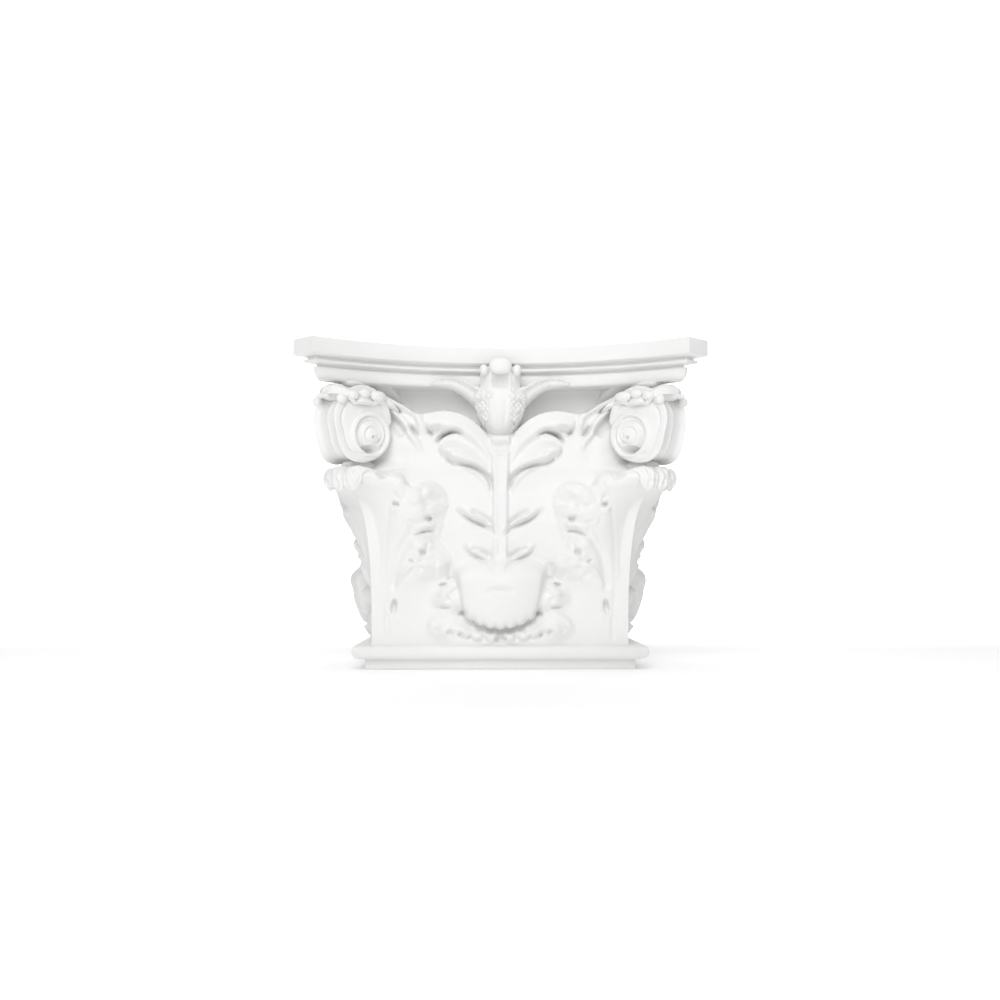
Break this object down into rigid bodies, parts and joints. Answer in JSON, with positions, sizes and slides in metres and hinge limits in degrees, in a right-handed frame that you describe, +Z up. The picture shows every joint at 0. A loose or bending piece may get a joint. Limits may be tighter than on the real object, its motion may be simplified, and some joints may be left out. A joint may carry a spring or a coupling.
{
  "type": "corinthian capital",
  "caption": "Square Corinthian capital with acanthus leaves, corner scrolls and a concave-sided abacus, set on a pillar or pilaster shaft.",
  "frame": {"origin": "centre of the underside of the neck, where the capital sits on its shaft", "axes": "+Z up along the axis of the shaft, +X to the right, one carved face towards -Y"},
  "size_m": [0.408, 0.408, 0.326],
  "materials": {
    "white_casting": "matt white primer on moulded hard foam"
  },
  "bodies": {
    "root": {"capital": "white_casting"}
  },
  "joints": []
}
